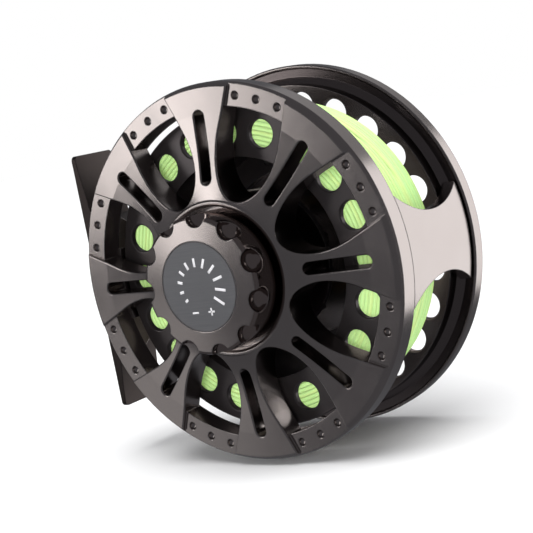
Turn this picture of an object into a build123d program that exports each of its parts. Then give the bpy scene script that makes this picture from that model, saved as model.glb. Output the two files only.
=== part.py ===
"""Large-arbor fly reel with a disc drag, built as the separate pieces that come apart on a bench.

Frame: the spindle line runs along +Y, from the drag knob at the front to the handle at the back. The foot
is on the -X side with its length along Z. The origin is the middle of the foot's seat face.
"Depth" below is the distance along +Y from the front edge of the rim's side wall.
"""
import math
import os

from build123d import *

os.makedirs("parts", exist_ok=True)

# ---------------------------------------------------------------- driving dimensions (mm)
plate_radius = 43.0        # outside of the frame
frame_depth = 31.05        # front edge of the rim to the pillars' free ends
cavity_radius = 14.4       # inside of the drag housing
spindle_radius = 3.0
seat_standoff = 9.0        # from the rim out to the foot's seat face
seat_height = plate_radius + seat_standoff
seat_depth = 17.5          # depth of the middle of the foot

# fits
running = 0.05             # radial clearance of a shaft in its bearing
gap = 0.3                  # free gap between pieces that move past each other
slip = 0.02                # clearance of a seated piece
swing = 0.35               # clearance of the spool's flange inside the frame

# front plate
rim_width = 4.3            # length of the rim's side wall
rim_wall = 5.35
rim_inner = plate_radius - rim_wall
spoke_count = 8
spoke_back = 3.8           # depth of the spokes' rear faces
spoke_face = -2.0          # depth of the spokes' front faces near the rim
spoke_flat = 1.35          # how far inside the rim the spokes' slope ends
crown_run = 0.1            # fall of the flat rim face towards its bevel
bevel_in = 1.1             # radial size of the bevel between rim wall and spoke face
bevel_knee_in = 0.3        # where the bevel turns from its flat part to its steep part
bevel_knee_depth = -0.8
panel_depth = -0.95        # depth of the dimpled panels between the spokes
recess_radius = cavity_radius + 1.8
recess_floor = -1.6
lip_radius = recess_radius + 1.0      # crest of the lip around the knob
lip_width = 0.9
lip_depth = -5.5
lip_ease = 0.3             # rounding of the lip's inner edge
lip_fall = 0.5             # drop of the lip's outer edge
spoke_root = lip_radius + 5.1         # where the spokes' steep root turns into their long slope
spoke_root_rise = 1.7
spoke_middle_rise = 0.6
window_end = lip_radius + 0.7         # radius of a window's rounded inner end
window_half = 7.9          # half width of a window
window_outer_half = 7.5    # half width where it meets the rim
window_wide_at = rim_inner - 6.15     # radius where a window is widest
window_overrun = 2.0
slot_inner = lip_radius + 3.7
slot_outer = rim_inner - 0.55
slot_width = 2.7
edge_bevel = 0.25          # broken edge of the slots and windows
dimple_circle = plate_radius - 2.9
dimple_radius = 0.95
dimple_step = 8.0          # degrees between the dimples of a panel
boss_wall = 2.6
boss_radius = cavity_radius + boss_wall
boss_end = 12.6
cavity_floor = 1.5
cover_thread = 4.0         # depth of the cover screws' holes
pillar_thread = 3.2        # depth of the pillar screws' holes

# pillars and their screws
pillar_wall = 2.7
pillar_front_half = 12.2   # half widths measured along Z
pillar_waist_half = 7.1
pillar_waist_depth = (rim_width + frame_depth) / 2 - 1.175
pillar_rear_half = 11.1
foot_pillar_wider = 6.0    # extra half width of the pillar that carries the foot
pillar_edge = 0.12         # broken edge where a pillar meets the rim
lug_inner = rim_inner - 0.5
lug_thick = 2.2
lug_half = 8.6
pillar_screw_radius = plate_radius - 3.5
pillar_screw_z = 5.6
small_screw = 0.8          # shank radius
small_head = 1.35
small_head_high = 1.0
thread_relief = 0.2        # room past a small screw's tip

# foot
foot_length = 64.5
foot_width = 14.0
foot_thick = 3.0
foot_tip_thick = 1.2
foot_shoulder = 16.0       # half length of the foot's full thickness
foot_taper = 22.0          # half length where the taper has begun
foot_taper_drop = 0.7
foot_stem_length = 26.0
foot_corner = 1.2
pad_radius = plate_radius + 1.4       # spindle line to the flat pad on the foot pillar
foot_screw_z = 8.0
foot_screw = 1.5
foot_head = 2.9
foot_head_high = 1.7
foot_screw_grip = 2.0      # how far the foot screws reach into the pad

# spool, overall
near_face = rim_width + 1.05          # depth of the near flange's front face
flange_thick = 1.4
flange_edge = 0.3          # broken edge of the flanges and of the palming rim
near_radius = lug_inner - swing
near_holes = 20
near_phase = -1.0          # degrees
near_hole_radius = 3.2
near_hole_circle = near_radius - 5.45
hole_edge = 0.25           # broken edge of the flange holes
arbor_wall = 1.6
arbor_inner = near_hole_circle - near_hole_radius - 2.45
arbor_outer = arbor_inner + arbor_wall
palm_gap = 0.5             # open gap between the pillars' ends and the palming rim
palm_width = 5.05
palm_radius = plate_radius + 0.8      # outside of the palming rim
palm_start = frame_depth + palm_gap
palm_end = palm_start + palm_width
palm_floor = palm_start + 0.7
palm_lip = 0.9
palm_crest_in = 2.0        # the rim's rounded rear corner, inwards and forwards
palm_crest_long = 1.7
palm_flat_out = 0.6        # half width of the rim's rear flat about the far flange's radius
palm_cove_in = 1.6         # slope between the far flange's edge and the floor of the rim's channel
palm_cove_long = 1.3
skirt_wall = 1.2
skirt_fall = 0.4           # drop of the rim's rear face towards the skirt
far_face = palm_start - 3.85          # depth of the far flange's line side
far_radius = plate_radius - pillar_wall - 0.9
far_holes = 24
far_phase = 3.0
far_hole_radius = 3.25
far_hole_circle = far_radius - 4.8
joint_lip_inner = arbor_inner - 5.5   # rear lip of the drum, where the back plate is screwed on
joint_lip_thick = 2.0
back_thick = 2.2           # web of the back plate
back_step_out = 0.3        # the sloping step between web and flange, about the drum's inside
back_step_in = 0.5
joint_screws = 6
joint_screw_circle = arbor_inner - 2.9

# spindle and drag
spindle_flange = spindle_radius + 3.0
spindle_flange_thick = 1.0
spindle_nose = 0.4         # chamfer on the spindle's free end
stud_radius = spindle_radius - 0.6    # front thread of the spindle
pressure_thick = 1.2
pressure_start = 3.2
drag_travel = 0.5          # travel of the pressure plate
disc_thick = 0.8
disc_radius = cavity_radius - 0.8
rotor_thick = 1.8
rotor_start = pressure_start + pressure_thick + drag_travel + 0.1 + disc_thick
rotor_end = rotor_start + rotor_thick
drive_radius = spindle_radius + 2.0   # outside of the spool's drive sleeve
clutch_radius = drive_radius + 2.0
clutch_wall = 0.8
clutch_long = 4.6
clutch_lip = 0.3           # length of the shell's rolled lip
roller_radius = 0.55
roller_count = 8
rotor_hub_radius = clutch_radius + 1.6
cover_thick = 1.5
cover_end = boss_end + cover_thick
cover_screw_radius = (cavity_radius + boss_radius) / 2
cover_screws = 6
cover_spigot = rotor_hub_radius + 1.4
thrust_pin_circle = spindle_radius + 5.5
thrust_pin_radius = 1.2
thrust_ring_radius = thrust_pin_circle + 1.4
thrust_ring_front = -3.6
thrust_ring_thick = 0.8
washer_count = 3
washer_pitch = 0.5
washer_thick = 0.3
washer_dish = 0.2
washer_reach = 3.0         # how far the washers stand out past the nut

# knob
knob_front = -13.4
knob_back = -2.0
knob_web = 1.7             # wall behind the badge
knob_skirt = 2.4
knob_root = 1.0            # inner corner between skirt and web
knob_radius = recess_radius - 0.9
knob_crown = 0.3           # fall of the knob's face from the badge to its edge
knob_edge_in = 0.8         # radial width of the knob's rounded front edge
knob_edge_ease = 0.25
knob_edge_long = 0.8
knob_scallops = 11
scallop_radius = 2.75
scallop_set_back = 1.6     # depth of the scallops' centres behind the knob's face
nut_radius = stud_radius + 2.6
nut_end = -5.5
badge_radius = 10.0
badge_thick = 0.8
badge_back = knob_front + badge_thick
spindle_front = badge_back + knob_web / 2 + 0.35
knob_inner = knob_radius - knob_skirt
detent_ball_radius = 0.8
detent_ring_inner = knob_inner - 2.3
detent_ring_thick = 0.85
detent_circle = (detent_ring_inner + knob_inner) / 2 + 0.05
detent_travel = 0.3
detent_count = 24
detent_land = 0.5          # how far behind the ring's face the dimples are struck
ball_depth = -1.5          # depth of the detent ball's centre
detent_pocket_end = 0.9
detent_spring_slack = 0.1

# bearings and hub
bearing_width = 4.0
sleeve_radius = spindle_radius + 1.0
inner_race = sleeve_radius + 1.0
ball_room = 1.4            # radial room between the races
outer_race = inner_race + ball_room
bearing_radius = outer_race + 1.1
ball_radius = ball_room / 2 - 0.04
ball_count = 9
hub_radius = bearing_radius + 2.7
hub_start = cover_end + gap + 0.1
hub_end = palm_start + 1.4
front_bearing = hub_start + 0.7
rear_bearing = far_face + 0.3
drive_sleeve_start = rotor_end + gap
drive_flange = 0.4
groove_depth_at = hub_end + 0.4       # depth of the latch groove's front wall
groove_width = 1.2
groove_radius = spindle_radius - 0.8
spindle_back = hub_end + 2.1

# line
backing_radius = arbor_outer + 0.7
line_radius = near_radius - 1.6
line_crown = 0.6
crown_front = 4.0          # distance over which the wound line rises at the near flange
crown_back = 5.0

# handle side
crank_radius = arbor_inner + 1.9
handle_angle = 130.5       # where the handle stands at rest, midway between two flange holes
boss_height = 4.2
handle_boss_radius = 4.6
handle_post_radius = 2.2
handle_long = 22.0
handle_tip_radius = 6.6
handle_waist_radius = 4.9
handle_root_radius = 5.6
handle_root_edge = 0.5
handle_waist_at = 0.3      # places of waist and swell along the handle, as parts of its length
handle_swell_at = 0.85
handle_tip_round = 1.2
handle_head_radius = 3.6
handle_head_seat = 2.2     # depth of the counterbore for the post's head
handle_head_inset = 0.5
driver_slot = 0.7          # depth of the slot in the post's head
driver_slot_wide = 0.9
weight_radius = 4.6
weight_high = 4.4
cap_radius = hub_radius - 1.2
cap_high = 5.4
cap_wall = 1.1
cap_roof = 1.2
cap_edge = 0.8
button_flange = cap_radius - 3.6
button_radius = button_flange - 1.3
button_flange_thick = 0.8
button_proud = 1.6
button_edge = 0.4
latch_travel = 0.9
latch_thick = 0.8
latch_half = spindle_radius + 1.5
latch_half_long = latch_half + 0.4
latch_bore = spindle_radius + gap

# click
click_teeth = 40
click_tooth = 0.9
click_root_sink = 0.2      # how far the teeth start inside the gear's rim
click_radius = hub_radius + 2.4
click_thick = 1.4
click_start = hub_start + 0.7
pawl_reach = 2.7
pawl_half = 1.0
pawl_nose = 0.2
pawl_shoulder = 1.1
pawl_heel = 0.85
pawl_clear = 0.15          # resting clearance of the pawl over the tooth tips
pawl_side = 0.1            # side clearance of the pawl between gear faces
pawl_pin = 0.5             # radius of the pawl's pivot
pawl_post_radius = 0.8
leaf_thick = 0.3
leaf_over = 0.6            # distance of the leaf spring past the pawl's heel
leaf_foot = 1.2
leaf_start = -3.9
leaf_end = 1.4
leaf_down = 0.2

# ---------------------------------------------------------------- working planes and small helpers
spindle_line = Axis((seat_height, 0, 0), (0, 1, 0))
half_section = Plane(origin=(seat_height, -seat_depth, 0), x_dir=(1, 0, 0), z_dir=(0, 0, 1))


def across(depth):
    """Plane across the spindle line at a depth, facing the front: its x is +X and its y is +Z."""
    return Plane(origin=(seat_height, depth - seat_depth, 0), x_dir=(1, 0, 0), z_dir=(0, -1, 0))


def ring_spots(radius, count, start=0.0):
    """Points (x, z) evenly spaced on a circle about the spindle line."""
    step = 2 * math.pi / count
    turn = math.radians(start)
    return [(radius * math.cos(turn + k * step), radius * math.sin(turn + k * step)) for k in range(count)]


def turn(*outline, mode=Mode.ADD):
    """Turn an outline of (radius, depth) points about the spindle line."""
    with BuildSketch(half_section, mode=Mode.PRIVATE) as section:
        with BuildLine():
            Polyline(*outline, close=True)
        make_face()
    revolve(section.sketch, axis=spindle_line, mode=mode)


def tube(inner, outer, start, end, mode=Mode.ADD):
    """A plain tube or disc about the spindle line between two depths."""
    turn((inner, start), (outer, start), (outer, end), (inner, end), mode=mode)


def pegs(spots, radius, start, end, mode=Mode.ADD):
    """Round pegs or drilled holes along the spindle line at (x, z) spots."""
    with BuildSketch(across(end), mode=Mode.PRIVATE) as ends:
        with Locations(*spots):
            Circle(radius)
    extrude(ends.sketch, amount=end - start, mode=mode)


def off_axis(edge):
    """Distance of an edge's middle from the spindle line."""
    return math.hypot(edge.center().X - seat_height, edge.center().Z)


def off_spoke(edge):
    """Distance of an edge's middle from the middle line of the nearest spoke."""
    turned = math.atan2(edge.center().Z, edge.center().X - seat_height)
    return off_axis(edge) * abs(math.sin(math.remainder(turned, 2 * math.pi / spoke_count)))


def break_edges(piece, depth, circle, size):
    """Chamfer the round edges at a depth whose middles are on a circle about the spindle line."""
    rims = piece.edges().filter_by(GeomType.CIRCLE).filter_by(
        lambda e: abs(e.arc_center.Y + seat_depth - depth) < slip
        and abs(math.hypot(e.arc_center.X - seat_height, e.arc_center.Z) - circle) < slip)
    chamfer(rims, size)


def screws(spots, shank, head, head_high, seat, tip):
    """Screws driven towards the front: cheese heads behind the seat depth, with a driver slot."""
    pegs(spots, shank, tip, seat)
    pegs(spots, head, seat, seat + head_high)
    with BuildSketch(across(seat + head_high), mode=Mode.PRIVATE) as slots:
        with Locations(*spots):
            Rectangle(2 * head, head / 3)
    extrude(slots.sketch, amount=head_high / 2, mode=Mode.SUBTRACT)


def save(piece, name):
    """Label a finished piece and write it."""
    piece.part.label = name
    export_step(piece.part, f"parts/{name}.step")


pillar_spots = [(side * pillar_screw_radius, z)
                for side in (1, -1) for z in (-pillar_screw_z, pillar_screw_z)]
cover_spots = ring_spots(cover_screw_radius, cover_screws, 15)
handle_spot, weight_spot = ring_spots(crank_radius, 2, handle_angle)
joint_spots = ring_spots(joint_screw_circle, joint_screws, handle_angle + 180 / joint_screws)
thrust_spots = ring_spots(thrust_pin_circle, 3, 90)

# ---------------------------------------------------------------- front plate
slope_end = rim_inner - spoke_flat
window_far = plate_radius + window_overrun
with BuildPart() as frame_plate:
    with BuildSketch(half_section) as plate_section:
        with BuildLine():
            Polyline((spindle_radius, recess_floor), (recess_radius, recess_floor),
                     (recess_radius, lip_depth + lip_ease), (lip_radius - lip_width / 2, lip_depth),
                     (lip_radius, lip_depth), (lip_radius + lip_width / 2, lip_depth + lip_fall))
            Spline((lip_radius + lip_width / 2, lip_depth + lip_fall),
                   (spoke_root, spoke_face - spoke_root_rise),
                   ((spoke_root + slope_end) / 2, spoke_face - spoke_middle_rise), (slope_end, spoke_face))
            Polyline((slope_end, spoke_face), (plate_radius - bevel_in, spoke_face + crown_run),
                     (plate_radius - bevel_knee_in, bevel_knee_depth), (plate_radius, 0),
                     (plate_radius, rim_width), (rim_inner, rim_width),
                     (rim_inner, spoke_back), (boss_radius, spoke_back), (boss_radius, boss_end),
                     (cavity_radius, boss_end), (cavity_radius, cavity_floor),
                     (spindle_radius, cavity_floor),
                     (spindle_radius, recess_floor))
        make_face()
    revolve(axis=spindle_line)
    # the windows, cut through inside the rim, and the shallow panels that carry them on over the rim
    with BuildSketch(mode=Mode.PRIVATE) as window:
        with BuildLine():
            Polyline((window_wide_at, -window_half), (window_far, -window_outer_half),
                     (window_far, window_outer_half), (window_wide_at, window_half), close=True)
        make_face()
        with Locations((window_wide_at, 0)):
            Ellipse(window_wide_at - window_end, window_half)
    with BuildSketch(across(rim_width), mode=Mode.PRIVATE) as inside_rim:
        with PolarLocations(0, spoke_count, 180 / spoke_count):
            add(window.sketch_local)
        Circle(rim_inner, mode=Mode.INTERSECT)
    extrude(inside_rim.sketch, amount=rim_width - 2 * lip_depth, mode=Mode.SUBTRACT)
    with BuildSketch(across(panel_depth), mode=Mode.PRIVATE) as over_rim:
        with PolarLocations(0, spoke_count, 180 / spoke_count):
            add(window.sketch_local)
        Circle(rim_inner - 1, mode=Mode.SUBTRACT)
    extrude(over_rim.sketch, amount=-2 * lip_depth, mode=Mode.SUBTRACT)
    # the radial slots through the spokes
    slot_middle = (slot_inner + slot_outer) / 2
    with BuildSketch(across(rim_width)) as slots:
        with PolarLocations(slot_middle, spoke_count):
            SlotOverall(slot_outer - slot_inner, slot_width)
    extrude(amount=rim_width - 2 * lip_depth, mode=Mode.SUBTRACT)
    # three ball dimples in each panel
    for panel in range(spoke_count):
        for place in (-1, 0, 1):
            turned = math.radians((panel + 0.5) * 360 / spoke_count + place * dimple_step)
            spot = (dimple_circle * math.cos(turned), dimple_circle * math.sin(turned))
            with Locations((seat_height + spot[0], panel_depth - seat_depth, spot[1])):
                Sphere(dimple_radius, mode=Mode.SUBTRACT)
    pegs(pillar_spots, small_screw, rim_width - pillar_thread, rim_width, mode=Mode.SUBTRACT)
    pegs(cover_spots, small_screw, boss_end - cover_thread, boss_end, mode=Mode.SUBTRACT)
    pegs([(0, detent_circle)], detent_ball_radius + running, recess_floor, detent_pocket_end,
         mode=Mode.SUBTRACT)
    pegs(thrust_spots, thrust_pin_radius + running, recess_floor, cavity_floor, mode=Mode.SUBTRACT)
    on_front = frame_plate.edges().filter_by(lambda e: e.center().Y < spoke_face - edge_bevel - seat_depth)
    slot_mouths = on_front.filter_by(lambda e: off_axis(e) > slot_inner - slip and off_spoke(e) < slot_width)
    chamfer(slot_mouths, edge_bevel)
    on_front = frame_plate.edges().filter_by(lambda e: e.center().Y < spoke_face - slip - seat_depth)
    window_mouths = on_front.filter_by(
        lambda e: lip_radius + lip_width < off_axis(e) < rim_inner and off_spoke(e) > slot_width)
    chamfer(window_mouths, edge_bevel)
save(frame_plate, "frame_plate")

# ---------------------------------------------------------------- pillars and foot
side_view = Plane(origin=(seat_height, -seat_depth, 0), x_dir=(0, 1, 0), z_dir=(1, 0, 0))


def pillar(side, wider=0.0):
    """One waisted pillar with its screw lug, on the +X side (1) or the -X side (-1)."""
    spots = [(x, z) for x, z in pillar_spots if x * side > 0]
    wall_inner = plate_radius - pillar_wall
    lug_end = rim_width + lug_thick
    front = pillar_front_half + wider
    waist = pillar_waist_half + wider
    rear = pillar_rear_half + wider
    with BuildPart() as piece:
        tube(wall_inner, plate_radius, rim_width, frame_depth)
        with BuildSketch(side_view):
            with BuildLine():
                ThreePointArc((rim_width, front), (pillar_waist_depth, waist), (frame_depth, rear))
                Line((frame_depth, rear), (frame_depth, -rear))
                ThreePointArc((frame_depth, -rear), (pillar_waist_depth, -waist), (rim_width, -front))
                Line((rim_width, -front), (rim_width, front))
            make_face()
        extrude(amount=side * 2 * plate_radius, mode=Mode.INTERSECT)
        with BuildSketch(across(lug_end)):
            Circle(wall_inner + slip)
            Circle(lug_inner, mode=Mode.SUBTRACT)
            with Locations((side * plate_radius, 0)):
                Rectangle(plate_radius, 2 * lug_half, mode=Mode.INTERSECT)
        extrude(amount=lug_thick)
        if side < 0:
            with BuildSketch(side_view.offset(side * pad_radius)):
                with Locations((seat_depth, 0)):
                    Rectangle(foot_width, foot_stem_length)
            extrude(amount=pad_radius - wall_inner - slip)
            for z in (-foot_screw_z, foot_screw_z):
                with Locations(Location((seat_height - pad_radius, 0, z), (0, 90, 0))):
                    Cylinder(foot_screw, 2 * foot_screw_grip, mode=Mode.SUBTRACT)
        pegs(spots, small_screw + slip, rim_width, lug_end, mode=Mode.SUBTRACT)
        pegs(spots, small_head + running, lug_end, lug_end + small_head_high + gap, mode=Mode.SUBTRACT)
        joint_edge = piece.edges().filter_by(GeomType.CIRCLE).filter_by(
            lambda e: abs(e.radius - plate_radius) < slip
            and abs(e.center().Y + seat_depth - rim_width) < slip)
        chamfer(joint_edge, pillar_edge)
    return piece


side_pillar = pillar(1)
save(side_pillar, "side_pillar")
foot_pillar = pillar(-1, foot_pillar_wider)
save(foot_pillar, "foot_pillar")

with BuildPart() as pillar_screws:
    screws(pillar_spots, small_screw, small_head, small_head_high, rim_width + lug_thick,
           rim_width - pillar_thread + thread_relief)
save(pillar_screws, "pillar_screws")

stem_high = seat_height - pad_radius
with BuildPart() as reel_foot:
    with BuildSketch(Plane.XZ):
        with BuildLine():
            for end in (1, -1):
                Line((0, 0), (0, end * foot_length / 2))
                Line((0, end * foot_length / 2), (foot_tip_thick, end * foot_length / 2))
                Spline((foot_tip_thick, end * foot_length / 2),
                       (foot_thick - foot_taper_drop, end * foot_taper), (foot_thick, end * foot_shoulder),
                       tangents=[(0.05, -end), (0.15, -end)])
                Line((foot_thick, end * foot_shoulder), (stem_high, end * foot_stem_length / 2))
                Line((stem_high, end * foot_stem_length / 2), (stem_high, 0))
        make_face()
    extrude(amount=foot_width / 2, both=True)
    fillet(reel_foot.edges().filter_by(Axis.X).filter_by(lambda e: abs(e.center().Z) > foot_length / 2 - 1),
           foot_corner)
    for z in (-foot_screw_z, foot_screw_z):
        with Locations(Location((0, 0, z), (0, 90, 0))):
            Cylinder(foot_screw + slip, 2 * seat_height, mode=Mode.SUBTRACT)
            Cylinder(foot_head + slip, 2 * (foot_head_high + gap), mode=Mode.SUBTRACT)
save(reel_foot, "reel_foot")

with BuildPart() as foot_screws:
    for z in (-foot_screw_z, foot_screw_z):
        with Locations(Location((gap, 0, z), (0, 90, 0))):
            Cylinder(foot_screw, stem_high + foot_screw_grip - gap,
                     align=(Align.CENTER, Align.CENTER, Align.MIN))
            Cylinder(foot_head, foot_head_high, align=(Align.CENTER, Align.CENTER, Align.MIN))
            Box(2 * foot_head, foot_head / 4, foot_head_high, mode=Mode.SUBTRACT)
save(foot_screws, "foot_screws")

# ---------------------------------------------------------------- spindle and drag
with BuildPart() as spindle:
    turn((0, spindle_front), (stud_radius, spindle_front), (stud_radius, recess_floor),
         (spindle_radius, recess_floor), (spindle_radius, cavity_floor), (spindle_flange, cavity_floor),
         (spindle_flange, cavity_floor + spindle_flange_thick),
         (spindle_radius, cavity_floor + spindle_flange_thick), (spindle_radius, groove_depth_at),
         (groove_radius, groove_depth_at), (groove_radius, groove_depth_at + groove_width),
         (spindle_radius, groove_depth_at + groove_width), (spindle_radius, spindle_back - spindle_nose / 2),
         (spindle_radius - spindle_nose, spindle_back), (0, spindle_back))
save(spindle, "spindle")

spigot_front = rotor_end + disc_thick + gap
with BuildPart() as drag_cover:
    turn((cover_spigot, spigot_front), (cavity_radius - slip, spigot_front),
         (cavity_radius - slip, boss_end),
         (boss_radius, boss_end), (boss_radius, cover_end), (rotor_hub_radius + gap, cover_end),
         (rotor_hub_radius + gap, boss_end), (cover_spigot, boss_end))
    pegs(cover_spots, small_screw + slip, boss_end, cover_end, mode=Mode.SUBTRACT)
save(drag_cover, "drag_cover")

with BuildPart() as cover_screw_set:
    screws(cover_spots, small_screw, small_head, small_head_high, cover_end,
           boss_end - cover_thread + thread_relief)
save(cover_screw_set, "cover_screws")

with BuildPart() as pressure_plate:
    tube(spindle_flange + gap, cavity_radius - gap, pressure_start, pressure_start + pressure_thick)
save(pressure_plate, "pressure_plate")

thrust_ring_back = thrust_ring_front + thrust_ring_thick
with BuildPart() as thrust_pins:
    pegs(thrust_spots, thrust_pin_radius, thrust_ring_back, pressure_start)
save(thrust_pins, "thrust_pins")

with BuildPart() as thrust_ring:
    tube(stud_radius + gap, thrust_ring_radius, thrust_ring_front, thrust_ring_back)
save(thrust_ring, "thrust_ring")

with BuildPart() as spring_washers:
    for place in range(washer_count):
        front = thrust_ring_front - washer_pitch * (place + 1)
        turn((stud_radius + gap, front), (nut_radius + washer_reach, front + washer_dish),
             (nut_radius + washer_reach, front + washer_dish + washer_thick),
             (stud_radius + gap, front + washer_thick))
save(spring_washers, "spring_washers")

with BuildPart() as drag_rotor:
    turn((spindle_radius + running, rotor_start), (disc_radius, rotor_start), (disc_radius, rotor_end),
         (rotor_hub_radius, rotor_end), (rotor_hub_radius, rotor_end + clutch_long),
         (clutch_radius, rotor_end + clutch_long), (clutch_radius, rotor_end),
         (spindle_radius + running, rotor_end))
save(drag_rotor, "drag_rotor")

with BuildPart() as front_friction_disc:
    tube(spindle_flange + gap, disc_radius, rotor_start - disc_thick, rotor_start)
save(front_friction_disc, "front_friction_disc")

with BuildPart() as rear_friction_disc:
    tube(cover_spigot, disc_radius, rotor_end, rotor_end + disc_thick)
save(rear_friction_disc, "rear_friction_disc")

roller_circle = drive_radius + running + roller_radius
roller_spots = ring_spots(roller_circle, roller_count)
with BuildPart() as clutch_shell:
    tube(clutch_radius - clutch_wall, clutch_radius, rotor_end, rotor_end + clutch_long)
    tube(clutch_radius - clutch_wall - slip / 2, clutch_radius, rotor_end, rotor_end + clutch_lip)
save(clutch_shell, "clutch_shell")

with BuildPart() as clutch_rollers:
    pegs(roller_spots, roller_radius, rotor_end + gap, rotor_end + clutch_long - gap)
save(clutch_rollers, "clutch_rollers")

# ---------------------------------------------------------------- drag knob
knob_floor = badge_back + knob_web
with BuildPart() as drag_knob:
    turn((0, badge_back), (badge_radius + slip, badge_back), (badge_radius + slip, knob_front),
         (knob_radius - knob_edge_in, knob_front + knob_crown),
         (knob_radius - knob_edge_ease, knob_front + knob_crown + knob_edge_ease),
         (knob_radius, knob_front + knob_crown + knob_edge_long), (knob_radius, knob_back),
         (knob_inner, knob_back),
         (knob_inner, knob_floor + knob_root), (knob_inner - knob_root, knob_floor),
         (nut_radius, knob_floor),
         (nut_radius, badge_back + knob_web / 2), (0, badge_back + knob_web / 2))
    for x, z in ring_spots(knob_radius, knob_scallops, 180):
        with Locations((seat_height + x, knob_front + scallop_set_back - seat_depth, z)):
            Sphere(scallop_radius, mode=Mode.SUBTRACT)
save(drag_knob, "drag_knob")

with BuildPart() as knob_badge:
    tube(0, badge_radius, knob_front, badge_back)
save(knob_badge, "knob_badge")

with BuildPart() as knob_nut:
    turn((0, badge_back + knob_web / 2), (nut_radius, badge_back + knob_web / 2), (nut_radius, nut_end),
         (stud_radius + running, nut_end), (stud_radius + running, spindle_front - gap),
         (0, spindle_front - gap))
save(knob_nut, "knob_nut")

detent_back = ball_depth - detent_ball_radius - running
with BuildPart() as detent_ring:
    tube(detent_ring_inner, knob_inner, detent_back - detent_ring_thick, detent_back)
    for x, z in ring_spots(detent_circle, detent_count, 90):
        with Locations((seat_height + x, detent_back + detent_land - seat_depth, z)):
            Sphere(detent_ball_radius, mode=Mode.SUBTRACT)
save(detent_ring, "detent_ring")

with BuildPart() as detent_ball:
    with Locations((seat_height, ball_depth - seat_depth, detent_circle)):
        Sphere(detent_ball_radius)
save(detent_ball, "detent_ball")

with BuildPart() as detent_spring:
    pegs([(0, detent_circle)], detent_ball_radius - detent_spring_slack,
         ball_depth + detent_ball_radius + detent_travel + running,
         detent_pocket_end)
save(detent_spring, "detent_spring")

# ---------------------------------------------------------------- bearings
bearing_starts = (front_bearing, rear_bearing)
with BuildPart() as bearing_sleeve:
    tube(spindle_radius, sleeve_radius, front_bearing, rear_bearing + bearing_width)
save(bearing_sleeve, "bearing_sleeve")

with BuildPart() as inner_races:
    for start in bearing_starts:
        tube(sleeve_radius, inner_race, start, start + bearing_width)
save(inner_races, "inner_races")

with BuildPart() as outer_races:
    for start in bearing_starts:
        tube(outer_race, bearing_radius, start, start + bearing_width)
save(outer_races, "outer_races")

with BuildPart() as bearing_balls:
    for start in bearing_starts:
        for x, z in ring_spots((inner_race + outer_race) / 2, ball_count):
            with Locations((seat_height + x, start + bearing_width / 2 - seat_depth, z)):
                Sphere(ball_radius)
save(bearing_balls, "bearing_balls")

with BuildPart() as drive_sleeve:
    turn((spindle_radius + gap, drive_sleeve_start), (drive_radius, drive_sleeve_start),
         (drive_radius, hub_start),
         (bearing_radius, hub_start), (bearing_radius, hub_start + drive_flange),
         (spindle_radius + gap, hub_start + drive_flange))
save(drive_sleeve, "drive_sleeve")

# ---------------------------------------------------------------- spool
near_back = near_face + flange_thick
with BuildPart() as spool_drum:
    turn((arbor_inner, near_face), (near_radius - flange_edge, near_face),
         (near_radius, near_face + flange_edge),
         (near_radius, near_back - flange_edge), (near_radius - flange_edge, near_back),
         (arbor_outer, near_back),
         (arbor_outer, far_face), (joint_lip_inner, far_face), (joint_lip_inner, far_face - joint_lip_thick),
         (arbor_inner, far_face - joint_lip_thick))
    pegs(ring_spots(near_hole_circle, near_holes, near_phase), near_hole_radius, near_face, near_back,
         mode=Mode.SUBTRACT)
    pegs(joint_spots, small_screw, far_face - joint_lip_thick, far_face, mode=Mode.SUBTRACT)
    break_edges(spool_drum, near_face, near_hole_circle, hole_edge)
save(spool_drum, "spool_drum")

far_back = far_face + flange_thick
web_back = far_face + back_thick
palm_inner = palm_radius - palm_lip
skirt_inner = far_radius - skirt_wall
with BuildPart() as spool_plate:
    turn((bearing_radius, hub_start), (hub_radius, hub_start), (hub_radius, far_face),
         (far_radius, far_face),
         (far_radius, palm_floor - palm_cove_long), (far_radius + palm_cove_in, palm_floor),
         (palm_inner, palm_floor), (palm_inner, palm_start + flange_edge),
         (palm_inner + flange_edge, palm_start), (palm_radius - flange_edge, palm_start),
         (palm_radius, palm_start + flange_edge), (palm_radius, palm_end - palm_crest_long),
         (palm_radius - palm_crest_in / 5, palm_end - palm_crest_long / 2),
         (palm_radius - palm_crest_in * 3 / 5, palm_end - palm_crest_long / 8),
         (palm_radius - palm_crest_in, palm_end), (far_radius + palm_flat_out, palm_end),
         (far_radius - palm_flat_out, palm_end - skirt_fall), (skirt_inner, palm_end - 3 * skirt_fall),
         (skirt_inner, far_back), (arbor_inner + back_step_out, far_back),
         (arbor_inner - back_step_in, web_back), (hub_radius, web_back),
         (hub_radius, hub_end), (bearing_radius, hub_end))
    pegs(ring_spots(far_hole_circle, far_holes, far_phase), far_hole_radius, far_face, far_back,
         mode=Mode.SUBTRACT)
    pegs(joint_spots, small_screw + slip, far_face, web_back, mode=Mode.SUBTRACT)
    break_edges(spool_plate, far_face, far_hole_circle, hole_edge)
    pegs([handle_spot, weight_spot], handle_boss_radius, far_back - flange_thick / 3, far_back + boss_height)
    pegs([handle_spot, weight_spot], handle_post_radius, far_face, far_back + boss_height,
         mode=Mode.SUBTRACT)
save(spool_plate, "spool_plate")

with BuildPart() as joint_screw_set:
    screws(joint_spots, small_screw, small_head, small_head_high, web_back, far_face - joint_lip_thick + gap)
save(joint_screw_set, "joint_screws")

with BuildPart() as backing:
    tube(arbor_outer, backing_radius, near_back, far_face)
save(backing, "backing")

with BuildPart() as fly_line:
    turn((backing_radius, near_back), (line_radius, near_back),
         (line_radius + line_crown, near_back + crown_front),
         (line_radius + line_crown, far_face - crown_back), (line_radius, far_face),
         (backing_radius, far_face))
save(fly_line, "fly_line")

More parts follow.
